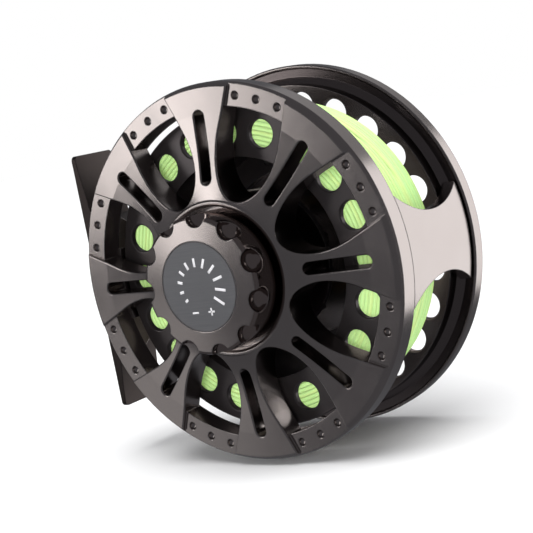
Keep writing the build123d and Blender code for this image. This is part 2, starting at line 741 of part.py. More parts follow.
# ---------------------------------------------------------------- click
with BuildPart() as click_gear:
    tube(hub_radius, click_radius - click_tooth, click_start, click_start + click_thick)
    with BuildSketch(across(click_start + click_thick)):
        with PolarLocations(0, click_teeth):
            root = click_radius - click_tooth - click_root_sink
            half = math.pi * root / click_teeth * 0.8
            with BuildLine():
                Polyline((root, -half), (click_radius, -half / 3), (click_radius, half / 3), (root, half),
                         close=True)
            make_face()
    extrude(amount=click_thick)
save(click_gear, "click_gear")

pawl_pivot = click_radius + pawl_clear + pawl_reach
pawl_end = click_start + click_thick
pawl_neck = pawl_pivot - pawl_shoulder
pawl_top = pawl_pivot + pawl_heel
with BuildPart() as click_pawl:
    with BuildSketch(across(pawl_end - pawl_side)):
        with BuildLine():
            Polyline((-pawl_nose, pawl_pivot - pawl_reach), (pawl_nose, pawl_pivot - pawl_reach),
                     (pawl_half, pawl_neck), (pawl_half, pawl_top), (-pawl_half, pawl_top),
                     (-pawl_half, pawl_neck),
                     close=True)
        make_face()
        with Locations((0, pawl_pivot)):
            Circle(pawl_pin + running, mode=Mode.SUBTRACT)
    extrude(amount=click_thick - 2 * pawl_side)
save(click_pawl, "click_pawl")

pin_head = pawl_end + 2 * pawl_side
with BuildPart() as pawl_post:
    pegs([(0, pawl_pivot)], pawl_pin, cover_end, pin_head + pawl_pin)
    pegs([(0, pawl_pivot)], pawl_post_radius, pin_head, pin_head + pawl_pin)
save(pawl_post, "pawl_post")

leaf_inner = pawl_top + leaf_over
with BuildPart() as pawl_spring:
    with BuildSketch(across(pawl_end)):
        with BuildLine():
            Polyline((leaf_start, pawl_pivot - leaf_down), (leaf_start + leaf_foot, pawl_pivot - leaf_down),
                     (leaf_start + leaf_foot, leaf_inner), (leaf_end, leaf_inner),
                     (leaf_end, leaf_inner + leaf_thick), (leaf_start, leaf_inner + leaf_thick), close=True)
        make_face()
    extrude(amount=pawl_end - cover_end)
save(pawl_spring, "pawl_spring")

# ---------------------------------------------------------------- handle, counterweight and release
boss_top = far_back + boss_height
handle_start = boss_top + gap
handle_end = handle_start + handle_long
with BuildPart() as handle_knob:
    with BuildSketch(Plane(origin=(seat_height + handle_spot[0], handle_start - seat_depth, handle_spot[1]),
                           x_dir=(1, 0, 0), z_dir=(0, 0, 1))):
        with BuildLine():
            Polyline((handle_post_radius + running, 0), (handle_root_radius - handle_root_edge, 0),
                     (handle_root_radius, handle_root_edge))
            Spline((handle_root_radius, handle_root_edge),
                   (handle_waist_radius, handle_long * handle_waist_at),
                   (handle_tip_radius, handle_long * handle_swell_at),
                   (handle_tip_radius - handle_tip_round, handle_long))
            Polyline((handle_tip_radius - handle_tip_round, handle_long),
                     (handle_head_radius + gap, handle_long),
                     (handle_head_radius + gap, handle_long - handle_head_seat),
                     (handle_post_radius + running, handle_long - handle_head_seat),
                     (handle_post_radius + running, 0))
        make_face()
    revolve(axis=Axis((seat_height + handle_spot[0], 0, handle_spot[1]), (0, 1, 0)))
save(handle_knob, "handle_knob")

head_end = handle_end - handle_head_inset
with BuildPart() as handle_post:
    pegs([handle_spot], handle_post_radius, far_face + gap, head_end)
    pegs([handle_spot], handle_head_radius, handle_end - handle_head_seat + gap, head_end)
    with BuildSketch(across(head_end)):
        with Locations(handle_spot):
            Rectangle(2 * handle_head_radius, driver_slot_wide)
    extrude(amount=driver_slot, mode=Mode.SUBTRACT)
save(handle_post, "handle_post")

with BuildPart() as counterweight:
    pegs([weight_spot], weight_radius, boss_top, boss_top + weight_high)
    pegs([weight_spot], handle_post_radius, far_face + gap, boss_top)
save(counterweight, "counterweight")

cap_end = hub_end + cap_high
cap_inner = cap_end - cap_roof
with BuildPart() as spool_cap:
    turn((cap_radius - cap_wall, hub_end), (cap_radius, hub_end), (cap_radius, cap_end - cap_edge),
         (cap_radius - cap_edge, cap_end), (button_radius + gap / 2, cap_end),
         (button_radius + gap / 2, cap_inner),
         (cap_radius - cap_wall, cap_inner))
save(spool_cap, "spool_cap")

button_back = cap_inner - running
with BuildPart() as release_button:
    turn((0, button_back - button_flange_thick), (button_flange, button_back - button_flange_thick),
         (button_flange, button_back), (button_radius, button_back),
         (button_radius, cap_end + button_proud - button_edge),
         (button_radius - button_edge, cap_end + button_proud), (0, cap_end + button_proud))
save(release_button, "release_button")

latch_start = groove_depth_at + (groove_width - latch_thick) / 2
with BuildPart() as latch_plate:
    with BuildSketch(across(latch_start + latch_thick)):
        Rectangle(2 * latch_half, 2 * latch_half_long)
        with Locations((0, latch_travel)):
            Circle(latch_bore, mode=Mode.SUBTRACT)
    extrude(amount=latch_thick)
save(latch_plate, "latch_plate")
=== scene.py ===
"""Large-arbor fly reel with a disc drag: dressed model, studio and camera.

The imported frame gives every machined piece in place. Each class below owns one sub-assembly: it dresses
the machined pieces with their finishes and models what is wound, pressed or printed on them.
All lengths are metres. The spindle line runs along +Y at x = SPINDLE, z = 0, from the drag knob at the
front to the handle at the back. A "depth" is a distance along +Y from the front edge of the rim.
"""
import logging
import math
from dataclasses import dataclass, field
from enum import Enum
from typing import Any, Protocol

import bpy
from mathutils import Matrix, Vector


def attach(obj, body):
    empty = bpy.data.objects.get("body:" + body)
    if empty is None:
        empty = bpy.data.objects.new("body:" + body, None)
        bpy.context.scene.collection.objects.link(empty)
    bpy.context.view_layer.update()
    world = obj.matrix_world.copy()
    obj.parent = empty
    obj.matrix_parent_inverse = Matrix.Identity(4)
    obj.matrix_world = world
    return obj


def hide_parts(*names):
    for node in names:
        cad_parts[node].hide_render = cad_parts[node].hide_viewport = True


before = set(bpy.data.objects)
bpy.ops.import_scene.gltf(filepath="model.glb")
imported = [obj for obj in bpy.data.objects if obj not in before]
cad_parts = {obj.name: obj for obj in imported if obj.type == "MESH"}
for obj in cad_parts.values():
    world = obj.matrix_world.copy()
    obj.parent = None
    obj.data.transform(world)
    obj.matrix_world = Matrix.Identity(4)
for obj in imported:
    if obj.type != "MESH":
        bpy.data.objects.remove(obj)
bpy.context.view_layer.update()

log = logging.getLogger("fly_reel")

MM = 0.001
SPINDLE = 52.0 * MM
SEAT_DEPTH = 17.5 * MM
FULL_TURN = 2 * math.pi

Colour = tuple[float, float, float]
Point = tuple[float, float, float]
Pair = tuple[float, float]
Node = bpy.types.Node
NodeGroup = bpy.types.NodeTree
Socket = bpy.types.NodeSocket
Material = bpy.types.Material
Piece = bpy.types.Object


class Body(Enum):
    """Moving bodies that new pieces ride on."""

    KNOB = "drag_knob"
    SPOOL = "spool"
    HANDLE = "handle"


class Slot(Enum):
    """Material slots of the record."""

    GUNMETAL = "gunmetal_anodise"
    BLACK = "black_anodise"
    FOOT = "foot_anodise"
    BADGE = "badge_face"
    SCREW = "screw_steel"
    BEARING = "bearing_steel"
    SPRING = "spring_steel"
    BRASS = "brass"
    CARBON = "carbon_disc"
    PLAIN = "plain_aluminium"
    HANDLE = "handle_plastic"
    BACKING = "backing_braid"
    LINE = "line_coating"


def at_depth(depth: float) -> float:
    """Y of a depth behind the front edge of the rim."""
    return depth - SEAT_DEPTH


def facing(azimuth: float, elevation: float) -> Matrix:
    """Turn whose Z axis looks out to a compass direction, with its Y axis as upright as can be.

    Args:
        azimuth: degrees from +X towards +Y.
        elevation: degrees above the horizon.

    Returns:
        The rotation.
    """
    turned, raised = math.radians(azimuth), math.radians(elevation)
    out = Vector((math.cos(turned) * math.cos(raised), math.sin(turned) * math.cos(raised), math.sin(raised)))
    return out.to_track_quat("Z", "Y").to_matrix().to_4x4()


# ---------------- node helpers and shared patterns
class Graph:
    """Adds and links nodes in one node tree.

    The MIX numbers are the places of a Mix node's colour sockets, which share their names with its others.
    """

    MIX_FIRST = 6
    MIX_SECOND = 7
    MIX_RESULT = 2

    def __init__(self, tree: NodeGroup) -> None:
        """Keep the tree and start at its left edge."""
        self.tree = tree
        self.column = 0

    def add(self, kind: str, **settings: Any) -> Node:
        """Add a node and set its properties and inputs.

        Args:
            kind: Blender's node type name.
            **settings: node properties, or input values under the input's name with "_" for spaces.

        Returns:
            The new node.
        """
        node = self.tree.nodes.new(kind)
        node.location = (self.column * 190, -(self.column % 3) * 160)
        self.column += 1
        for name, value in settings.items():
            if hasattr(node, name):
                setattr(node, name, value)
            else:
                node.inputs[name.replace("_", " ")].default_value = value
        return node

    def link(self, source: Socket, target: Socket) -> None:
        """Link an output to an input."""
        self.tree.links.new(source, target)

    def place(self) -> Socket:
        """Object coordinates."""
        return self.add("ShaderNodeTexCoord").outputs["Object"]

    def noise(self, vector: Socket, **settings: Any) -> Socket:
        """Add a Noise Texture.

        Args:
            vector: where the noise is read.
            **settings: its inputs, as in add.

        Returns:
            Its 0 to 1 value.
        """
        node = self.add("ShaderNodeTexNoise", **settings)
        self.link(vector, node.inputs["Vector"])
        return node.outputs["Fac"]

    def math(self, operation: str, first: Socket | float, second: Socket | float | None = None,
             clamp: bool = False) -> Socket:
        """Add a Math node.

        Args:
            operation: the Math node's operation.
            first: socket or number.
            second: socket or number.
            clamp: keep the result between 0 and 1.

        Returns:
            Its output socket.
        """
        node = self.add("ShaderNodeMath", operation=operation, use_clamp=clamp)
        for place, value in enumerate((first, second)):
            if isinstance(value, Socket):
                self.link(value, node.inputs[place])
            elif value is not None:
                node.inputs[place].default_value = value
        return node.outputs[0]

    def weigh(self, *shares: tuple[Socket, float]) -> Socket:
        """Add values up, each times its own weight.

        Args:
            *shares: two values, each with its weight.

        Returns:
            The sum.
        """
        first, second = (self.math("MULTIPLY", value, weight) for value, weight in shares)
        return self.math("ADD", first, second)

    def spread(self, value: Socket, low: float, high: float) -> Socket:
        """Map a 0 to 1 value onto another range.

        Args:
            value: the value to map.
            low: what 0 becomes.
            high: what 1 becomes.

        Returns:
            The mapped value.
        """
        node = self.add("ShaderNodeMapRange", clamp=True)
        self.link(value, node.inputs["Value"])
        node.inputs["To Min"].default_value = low
        node.inputs["To Max"].default_value = high
        return node.outputs["Result"]

    def blend(self, factor: Socket, low: Colour | Socket, high: Colour | Socket) -> Socket:
        """Blend between two linear RGB colours.

        Args:
            factor: 0 to 1 share of the second colour.
            low: first colour, or a socket that gives it.
            high: second colour, or a socket that gives it.

        Returns:
            The blended colour.
        """
        node = self.add("ShaderNodeMix", data_type="RGBA")
        self.link(factor, node.inputs[0])
        for place, colour in ((self.MIX_FIRST, low), (self.MIX_SECOND, high)):
            if isinstance(colour, Socket):
                self.link(colour, node.inputs[place])
            else:
                node.inputs[place].default_value = (*colour, 1.0)
        return node.outputs[self.MIX_RESULT]


@dataclass
class PatternBook:
    """Node groups that several finishes share, each made once."""

    made: dict[str, NodeGroup] = field(default_factory=dict)

    def open(self, name: str, *inputs: str) -> Graph:
        """Start a node group.

        Args:
            name: the group's name.
            *inputs: names of its inputs, all plain numbers.

        Returns:
            The group's graph.
        """
        self.made[name] = bpy.data.node_groups.new(name, "ShaderNodeTree")
        for label in inputs:
            self.made[name].interface.new_socket(name=label, in_out="INPUT", socket_type="NodeSocketFloat")
        return Graph(self.made[name])

    def close(self, graph: Graph, **outputs: Socket) -> None:
        """End a node group with its outputs.

        Args:
            graph: the group's graph.
            **outputs: what each output gives, by the output's name.
        """
        for label, source in outputs.items():
            kind = "NodeSocketVector" if source.type == "VECTOR" else "NodeSocketFloat"
            graph.tree.interface.new_socket(name=label, in_out="OUTPUT", socket_type=kind)
        end = graph.add("NodeGroupOutput")
        for label, source in outputs.items():
            graph.link(source, end.inputs[label])

    def about_spindle(self, graph: Graph) -> tuple[Socket, Socket]:
        """Where a point is about the spindle line.

        Args:
            graph: the graph to work in.

        Returns:
            Its squared distance from the line, and its Y.
        """
        centred = graph.add("ShaderNodeMapping")
        centred.inputs["Location"].default_value = (-SPINDLE, 0.0, 0.0)
        graph.link(graph.place(), centred.inputs["Vector"])
        split = graph.add("ShaderNodeSeparateXYZ")
        graph.link(centred.outputs["Vector"], split.inputs[0])
        squares = (graph.math("MULTIPLY", split.outputs[way], split.outputs[way]) for way in ("X", "Z"))
        return graph.math("ADD", *squares), split.outputs["Y"]

    def unrolled(self, graph: Graph) -> Socket:
        """Distance from the spindle line and Y, as the X and Y of one vector.

        Args:
            graph: the graph to work in.

        Returns:
            The vector, the same all round a turned piece.
        """
        squared, along = self.about_spindle(graph)
        pair = graph.add("ShaderNodeCombineXYZ")
        graph.link(graph.math("SQRT", squared), pair.inputs["X"])
        graph.link(along, pair.inputs["Y"])
        return pair.outputs[0]

    def turning(self) -> NodeGroup:
        """Fine lathe rings round the spindle line, on faces and on walls.

        Returns:
            The node group.
        """
        if "turning_rings" not in self.made:
            graph = self.open("turning_rings")
            rings = graph.noise(self.unrolled(graph), Scale=5200.0, Detail=2.0, Roughness=0.55)
            self.close(graph, Height=rings)
        return self.made["turning_rings"]

    def blasting(self) -> NodeGroup:
        """Fine even grain of a blasted and anodised face, with soft patches of handling and specks of dust.

        Returns:
            The node group.
        """
        if "blasting" not in self.made:
            graph = self.open("blasting")
            place = graph.place()
            grain = graph.noise(place, Scale=4200.0, Detail=3.0, Roughness=0.6)
            patches = graph.noise(place, Scale=95.0, Detail=4.0, Roughness=0.62, Distortion=0.4)
            dust = graph.add("ShaderNodeTexVoronoi", Scale=900.0, feature="F1", Randomness=1.0)
            graph.link(place, dust.inputs["Vector"])
            specks = graph.math("LESS_THAN", dust.outputs["Distance"], 0.07)
            self.close(graph, Grain=grain, Patches=patches, Specks=specks)
        return self.made["blasting"]

    def edges(self) -> NodeGroup:
        """Rounded-over edges: a softened normal, and a mask of where the edges are.

        Returns:
            The node group, whose Radius is how far the rounding reaches from an edge.
        """
        if "rounded_edges" not in self.made:
            graph = self.open("rounded_edges", "Radius")
            softened = graph.add("ShaderNodeBevel", samples=6)
            graph.link(graph.add("NodeGroupInput").outputs["Radius"], softened.inputs["Radius"])
            true_face = graph.add("ShaderNodeNewGeometry")
            agree = graph.add("ShaderNodeVectorMath", operation="DOT_PRODUCT")
            graph.link(softened.outputs[0], agree.inputs[0])
            graph.link(true_face.outputs["Normal"], agree.inputs[1])
            bent = graph.math("SUBTRACT", 0.985, agree.outputs["Value"])
            self.close(graph, Normal=softened.outputs[0], Edge=graph.math("MULTIPLY", bent, 5.0, clamp=True))
        return self.made["rounded_edges"]


PATTERNS = PatternBook()


class Surface:
    """A new material with its Principled shader and output."""

    def __init__(self, name: str) -> None:
        """Make the material, with its shader and output alone.

        Args:
            name: the material's name.
        """
        self.material = bpy.data.materials.new(name)
        self.material.use_nodes = True
        self.material.node_tree.nodes.clear()
        self.graph = Graph(self.material.node_tree)
        self.shader = self.graph.add("ShaderNodeBsdfPrincipled")
        end = self.graph.add("ShaderNodeOutputMaterial")
        self.graph.link(self.shader.outputs[0], end.inputs[0])

    def pattern(self, tree: NodeGroup, **values: float) -> Node:
        """Add one of the shared node groups.

        Args:
            tree: the group.
            **values: its inputs.

        Returns:
            The group's node.
        """
        node = self.graph.add("ShaderNodeGroup")
        node.node_tree = tree
        for name, value in values.items():
            node.inputs[name].default_value = value
        return node

    def colour(self, socket: Socket) -> None:
        """Drive the base colour."""
        self.graph.link(socket, self.shader.inputs["Base Color"])

    def rough(self, socket: Socket) -> None:
        """Drive the roughness."""
        self.graph.link(socket, self.shader.inputs["Roughness"])

    def relief(self, height: Socket, depth: float, strength: float, over: Socket | None = None) -> None:
        """Add a bump and drive the shader's normal with it.

        Args:
            height: 0 to 1 height.
            depth: full height in metres.
            strength: share of the bump that shows.
            over: normal to bump, if not the face's own.
        """
        bump = self.graph.add("ShaderNodeBump", Strength=strength, Distance=depth)
        self.graph.link(height, bump.inputs["Height"])
        if over is not None:
            self.graph.link(over, bump.inputs["Normal"])
        self.graph.link(bump.outputs[0], self.shader.inputs["Normal"])

    def fixed(self, **values: Any) -> None:
        """Set inputs that are the same all over the surface."""
        for name, value in values.items():
            self.shader.inputs[name.replace("_", " ")].default_value = value


# ---------------- finishes
class Finish(Protocol):
    """What a finish offers: its name, and its material when asked for."""

    name: str

    def make(self) -> Material:
        """Build the material."""


@dataclass(frozen=True)
class Anodise:
    """Satin anodised aluminium: blasted grain, faint lathe rings, edge wear and a painted edge highlight."""

    name: str
    colour: Colour
    rubbed_and_highlit: Colour
    roughness: float = 0.3
    grain: float = 0.3
    rings: float = 0.12
    edge: float = 0.28 * MM
    metallic: float = 1.0

    def make(self) -> Material:
        """Build the material.

        Returns:
            The material.
        """
        surface = Surface(self.name)
        graph = surface.graph
        blast = surface.pattern(PATTERNS.blasting())
        lathe = surface.pattern(PATTERNS.turning())
        edges = surface.pattern(PATTERNS.edges(), Radius=self.edge)
        patches = blast.outputs["Patches"]
        # Lighter edges: part edge wear, part painted edge highlight.
        edge_wear_and_highlight = graph.math("MULTIPLY", edges.outputs["Edge"], graph.spread(patches, 0.25, 0.95))
        tone = graph.math("ADD", graph.math("MULTIPLY", patches, 0.22), edge_wear_and_highlight, clamp=True)
        dusty = graph.math("ADD", tone, graph.math("MULTIPLY", blast.outputs["Specks"], 0.03), clamp=True)
        surface.colour(graph.blend(dusty, self.colour, self.rubbed_and_highlit))
        surface.rough(graph.spread(patches, self.roughness - 0.05, self.roughness + 0.07))
        surface.fixed(Metallic=self.metallic, IOR=1.8)
        height = graph.weigh((blast.outputs["Grain"], self.grain), (lathe.outputs["Height"], self.rings))
        surface.relief(height, 0.012 * MM, 0.55, edges.outputs["Normal"])
        return surface.material


@dataclass(frozen=True)
class Zone:
    """A turned band: between two distances from the spindle line and between two places along it."""

    radius_from: float = 0.0
    radius_to: float = 1.0
    y_from: float = -1.0
    y_to: float = 1.0

    def mask(self, graph: Graph) -> Socket:
        """Mark the band.

        Args:
            graph: the graph to work in.

        Returns:
            1 inside the band and 0 outside it.
        """
        squared, along = PATTERNS.about_spindle(graph)
        ring = self.between(graph, squared, self.radius_from ** 2, self.radius_to ** 2)
        return graph.math("MULTIPLY", ring, self.between(graph, along, self.y_from, self.y_to))

    @staticmethod
    def between(graph: Graph, value: Socket, low: float, high: float) -> Socket:
        """1 where the value lies between low and high, and 0 elsewhere."""
        above, below = graph.math("GREATER_THAN", value, low), graph.math("LESS_THAN", value, high)
        return graph.math("MULTIPLY", above, below)


@dataclass(frozen=True)
class ShadeBandAnodise:
    """Anodise with a second, darker colour painted in one turned band as shade."""

    name: str
    colour: Colour
    rubbed_and_highlit: Colour
    second: Colour
    zone: Zone
    roughness: float = 0.24
    second_roughness: float = 0.24
    grain: float = 0.3
    rings: float = 0.12
    edge: float = 0.28 * MM

    def make(self) -> Material:
        """Build the material.

        Returns:
            The material.
        """
        surface = Surface(self.name)
        graph = surface.graph
        blast = surface.pattern(PATTERNS.blasting())
        lathe = surface.pattern(PATTERNS.turning())
        edges = surface.pattern(PATTERNS.edges(), Radius=self.edge)
        patches = blast.outputs["Patches"]
        # The band takes the second colour: painted shade, darker than the metal's own tone.
        inside = self.zone.mask(graph)
        # Lighter edges: part edge wear, part painted edge highlight.
        edge_wear_and_highlight = graph.math("MULTIPLY", edges.outputs["Edge"], graph.spread(patches, 0.15, 0.6))
        handled = graph.math("MULTIPLY", patches, graph.spread(inside, 0.18, 0.03))
        base = graph.blend(inside, self.colour, self.second)
        surface.colour(graph.blend(graph.math("ADD", handled, edge_wear_and_highlight, clamp=True), base, self.rubbed_and_highlit))
        level = graph.spread(inside, self.roughness, self.second_roughness)
        surface.rough(graph.math("ADD", level, graph.spread(patches, -0.03, 0.05)))
        surface.fixed(Metallic=1.0, IOR=1.8)
        height = graph.weigh((blast.outputs["Grain"], self.grain), (lathe.outputs["Height"], self.rings))
        surface.relief(height, 0.012 * MM, 0.55, edges.outputs["Normal"])
        return surface.material


@dataclass(frozen=True)
class TurnedMetal:
    """Bare or plated metal off the lathe, oiled or ground."""

    name: str
    colour: Colour
    shaded: Colour
    roughness: float = 0.25
    grain: float = 0.2
    rings: float = 0.4

    def make(self) -> Material:
        """Build the material.

        Returns:
            The material.
        """
        surface = Surface(self.name)
        graph = surface.graph
        blast = surface.pattern(PATTERNS.blasting())
        rings = surface.pattern(PATTERNS.turning()).outputs["Height"]
        surface.colour(graph.blend(blast.outputs["Patches"], self.shaded, self.colour))
        surface.rough(graph.spread(rings, self.roughness - 0.08, self.roughness + 0.12))
        surface.fixed(Metallic=1.0)
        surface.relief(graph.weigh((blast.outputs["Grain"], self.grain), (rings, self.rings)), 0.01 * MM, 0.5)
        return surface.material


@dataclass(frozen=True)
class BrushedDisc:
    """Grey disc brushed straight across, with a fine clear lacquer."""

    name: str
    colour: Colour
    streak: Colour
    roughness: float = 0.42
    brushed_at: float = math.radians(28)
    streaks: Point = (160.0, 4000.0, 9000.0)

    def make(self) -> Material:
        """Build the material.

        Returns:
            The material.
        """
        surface = Surface(self.name)
        graph = surface.graph
        drawn = graph.add("ShaderNodeMapping")
        drawn.inputs["Rotation"].default_value = (0.0, self.brushed_at, 0.0)
        drawn.inputs["Scale"].default_value = self.streaks
        graph.link(graph.place(), drawn.inputs["Vector"])
        streaks = graph.noise(drawn.outputs[0], Scale=1.0, Detail=3.0, Roughness=0.6)
        surface.colour(graph.blend(streaks, self.colour, self.streak))
        surface.rough(graph.spread(streaks, self.roughness - 0.06, self.roughness + 0.08))
        surface.fixed(Metallic=0.75, Coat_Weight=0.15)
        surface.relief(streaks, 0.006 * MM, 0.4)
        return surface.material


@dataclass(frozen=True)
class Moulded:
    """Moulded or printed plastic with a fine spark-eroded texture."""

    name: str
    colour: Colour
    scuffed: Colour
    roughness: float = 0.5
    grain: float = 1.0
    edge: float = 0.35 * MM

    def make(self) -> Material:
        """Build the material.

        Returns:
            The material.
        """
        surface = Surface(self.name)
        graph = surface.graph
        blast = surface.pattern(PATTERNS.blasting())
        edges = surface.pattern(PATTERNS.edges(), Radius=self.edge)
        patches = blast.outputs["Patches"]
        scuffs = graph.math("ADD", graph.math("MULTIPLY", patches, 0.35),
                            graph.math("MULTIPLY", edges.outputs["Edge"], 0.5), clamp=True)
        surface.colour(graph.blend(scuffs, self.colour, self.scuffed))
        surface.rough(graph.spread(patches, self.roughness - 0.1, self.roughness + 0.12))
        surface.relief(blast.outputs["Grain"], 0.02 * MM * self.grain, 0.6, edges.outputs["Normal"])
        return surface.material


@dataclass(frozen=True)
class WovenDisc:
    """Carbon-fibre friction disc: a twill of dark tows under dry resin."""

    name: str
    tow: Colour
    resin: Colour
    pitch: float = 1.1 * MM

    def make(self) -> Material:
        """Build the material.

        Returns:
            The material.
        """
        surface = Surface(self.name)
        graph = surface.graph
        place = graph.place()
        scale = 1 / (self.pitch * FULL_TURN)
        bands = []
        for turned in (math.pi / 4, math.pi * 3 / 4):
            lay = graph.add("ShaderNodeMapping")
            lay.inputs["Rotation"].default_value = (0.0, turned, 0.0)
            graph.link(place, lay.inputs["Vector"])
            wave = graph.add("ShaderNodeTexWave", Scale=scale, Distortion=0.4, Detail=2.0)
            graph.link(lay.outputs[0], wave.inputs["Vector"])
            bands.append(wave.outputs["Fac"])
        weave = graph.math("MULTIPLY", *bands)
        surface.colour(graph.blend(weave, self.resin, self.tow))
        surface.rough(graph.spread(weave, 0.62, 0.42))
        surface.relief(weave, 0.05 * MM, 0.6)
        return surface.material


@dataclass(frozen=True)
class Braid:
    """Braided backing wound in fine turns round the arbor, with painted shade in the grooves between turns.
    """

    name: str
    colour: Colour
    shadow: Colour
    thickness: float = 0.45 * MM

    def make(self) -> Material:
        """Build the material.

        Returns:
            The material.
        """
        surface = Surface(self.name)
        graph = surface.graph
        squared, along = PATTERNS.about_spindle(graph)
        across = graph.math("ADD", graph.math("SQRT", squared), along)
        wave = graph.math("SINE", graph.math("MULTIPLY", across, math.pi / self.thickness))
        grain = surface.pattern(PATTERNS.blasting()).outputs["Grain"]
        # Darkens towards the shadow colour in the grooves between turns: painted shade; the same ridges also
        # give the bump.
        groove_shade_and_fuzz = graph.math("MULTIPLY", graph.math("ABSOLUTE", wave), graph.spread(grain, 0.6, 1.0))
        surface.colour(graph.blend(groove_shade_and_fuzz, self.shadow, self.colour))
        surface.rough(graph.spread(grain, 0.7, 0.9))
        surface.relief(groove_shade_and_fuzz, 0.2 * MM, 0.8)
        return surface.material


@dataclass(frozen=True)
class CoatedLine:
    """Smooth fluorescent line coating, with turns that differ a little, a faint dusting and a painted
    emission.
    """

    name: str
    colour: Colour
    yellow: Colour
    deep: Colour
    painted_emission: Colour = (0.6, 1.0, 0.26)
    painted_emission_strength: float = 0.22

    def make(self) -> Material:
        """Build the material.

        Returns:
            The material.
        """
        surface = Surface(self.name)
        graph = surface.graph
        by_turn = graph.noise(PATTERNS.unrolled(graph), Scale=850.0, Detail=1.0, Roughness=0.5)
        cloud = graph.noise(graph.place(), Scale=240.0, Detail=3.0, Roughness=0.6)
        warm = graph.blend(graph.spread(by_turn, -0.8, 1.6), self.colour, self.yellow)
        surface.colour(graph.blend(graph.math("MULTIPLY", cloud, 0.35), warm, self.deep))
        surface.rough(graph.spread(cloud, 0.28, 0.5))
        # Emission is painted light, lifting the line where it lies in shade; the line is no lamp.
        surface.fixed(Subsurface_Weight=0.12, Subsurface_Scale=0.4 * MM, Subsurface_Radius=(1.0, 1.0, 0.4),
                      Coat_Weight=0.1, Emission_Color=(*self.painted_emission, 1.0), Emission_Strength=self.painted_emission_strength)
        surface.relief(cloud, 0.03 * MM, 0.35)
        return surface.material


@dataclass(frozen=True)
class MattePaper:
    """Pale seamless floor with the faintest tooth."""

    name: str
    colour: Colour

    def make(self) -> Material:
        """Build the material.

        Returns:
            The material.
        """
        surface = Surface(self.name)
        graph = surface.graph
        tooth = graph.noise(graph.place(), Scale=60.0, Detail=3.0)
        surface.colour(graph.blend(tooth, self.colour, tuple(0.985 * part for part in self.colour)))
        surface.fixed(Roughness=0.9, Specular_IOR_Level=0.1)
        return surface.material


GUNMETAL = (0.34, 0.3, 0.285)
FINISHES: dict[Slot, Finish] = {
    Slot.GUNMETAL: Anodise("gunmetal_anodise_satin", GUNMETAL, (0.58, 0.54, 0.52), roughness=0.2),
    Slot.BLACK: Anodise("black_anodise_satin", (0.065, 0.055, 0.056), (0.24, 0.22, 0.215), metallic=0.82),
    Slot.FOOT: Anodise("foot_anodise_satin", (0.036, 0.028, 0.026), (0.14, 0.125, 0.12), roughness=0.34,
                       rings=0.0),
    Slot.BADGE: BrushedDisc("badge_brushed", (0.125, 0.125, 0.129), (0.19, 0.19, 0.2)),
    Slot.SCREW: TurnedMetal("screw_blackened", (0.3, 0.29, 0.28), (0.16, 0.155, 0.15), 0.34),
    Slot.BEARING: TurnedMetal("bearing_ground", (0.68, 0.68, 0.7), (0.5, 0.5, 0.52), 0.18),
    Slot.SPRING: TurnedMetal("spring_oiled", (0.5, 0.47, 0.42), (0.32, 0.29, 0.25), 0.3),
    Slot.BRASS: TurnedMetal("brass_turned", (0.8, 0.6, 0.27), (0.62, 0.42, 0.17), 0.24),
    Slot.CARBON: WovenDisc("carbon_twill", (0.06, 0.06, 0.065), (0.012, 0.012, 0.013)),
    Slot.PLAIN: TurnedMetal("clear_anodised", (0.7, 0.7, 0.72), (0.55, 0.55, 0.57), 0.3),
    Slot.HANDLE: Moulded("handle_moulded", (0.014, 0.0135, 0.0135), (0.06, 0.058, 0.056)),
    Slot.BACKING: Braid("backing_braided", (0.72, 0.69, 0.6), (0.3, 0.28, 0.23)),
    Slot.LINE: CoatedLine("line_lime", (0.62, 0.96, 0.42), (0.82, 0.96, 0.38), (0.46, 0.88, 0.3)),
}
# Spool back: its channel behind the palming rim is painted darker as shade, in place of a modelled cove.
SPOOL_BACK = ShadeBandAnodise("spool_channel_painted_shade", GUNMETAL, (0.5, 0.46, 0.44), (0.15, 0.126, 0.122),
                            Zone(radius_from=39.3 * MM, radius_to=42.95 * MM, y_to=at_depth(33.0 * MM)))
# Knob: side wall and scallops behind the front ring are painted darker as shade.
KNOB_PAINTED_SHADE = ShadeBandAnodise("knob_side_painted_shade", GUNMETAL, (0.56, 0.52, 0.5), (0.28, 0.23, 0.215),
                            Zone(y_from=at_depth(-13.06 * MM)), 0.22, 0.07)
RUBBER = Moulded("grip_rubber", (0.012, 0.012, 0.012), (0.045, 0.044, 0.043), roughness=0.7, grain=1.4)
INLAY = Moulded("inlay_silver_ink", (0.62, 0.61, 0.63), (0.78, 0.77, 0.78), roughness=0.36, grain=0.3)


class Paintshop:
    """Makes each finish once and puts it on pieces."""

    def __init__(self) -> None:
        """Start with nothing made."""
        self.made: dict[str, Material] = {}

    def material(self, finish: Finish) -> Material:
        """The finish's material, made at its first use."""
        if finish.name not in self.made:
            self.made[finish.name] = finish.make()
        return self.made[finish.name]

    def coat_node(self, name: str, slot: Slot, finish: Finish | None = None) -> None:
        """Give a machined piece its finish.

        Args:
            name: the node's name.
            slot: the record's slot it belongs to.
            finish: a finish of its own, if not the slot's.
        """
        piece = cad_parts[name]
        if not piece.material_slots:
            piece.data.materials.append(None)
        for place in piece.material_slots:
            place.material = self.material(finish or FINISHES[slot])
        log.info("%s wears %s", name, slot.value)

    def coat_nodes(self, slots: dict[str, Slot]) -> None:
        """Give machined pieces their slots' finishes."""
        for name, slot in slots.items():
            self.coat_node(name, slot)

    def fit_piece(self, piece: Piece, slot: Slot, body: Body, finish: Finish | None = None) -> None:
        """Give a new piece its finish, and let it ride on its body.

        Args:
            piece: the new piece.
            slot: the record's slot it belongs to.
            body: the body it rides on.
            finish: a finish of its own, if not the slot's.
        """
        piece.data.materials.clear()
        piece.data.materials.append(self.material(finish or FINISHES[slot]))
        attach(piece, body.value)
        log.info("%s wears %s", piece.name, slot.value)


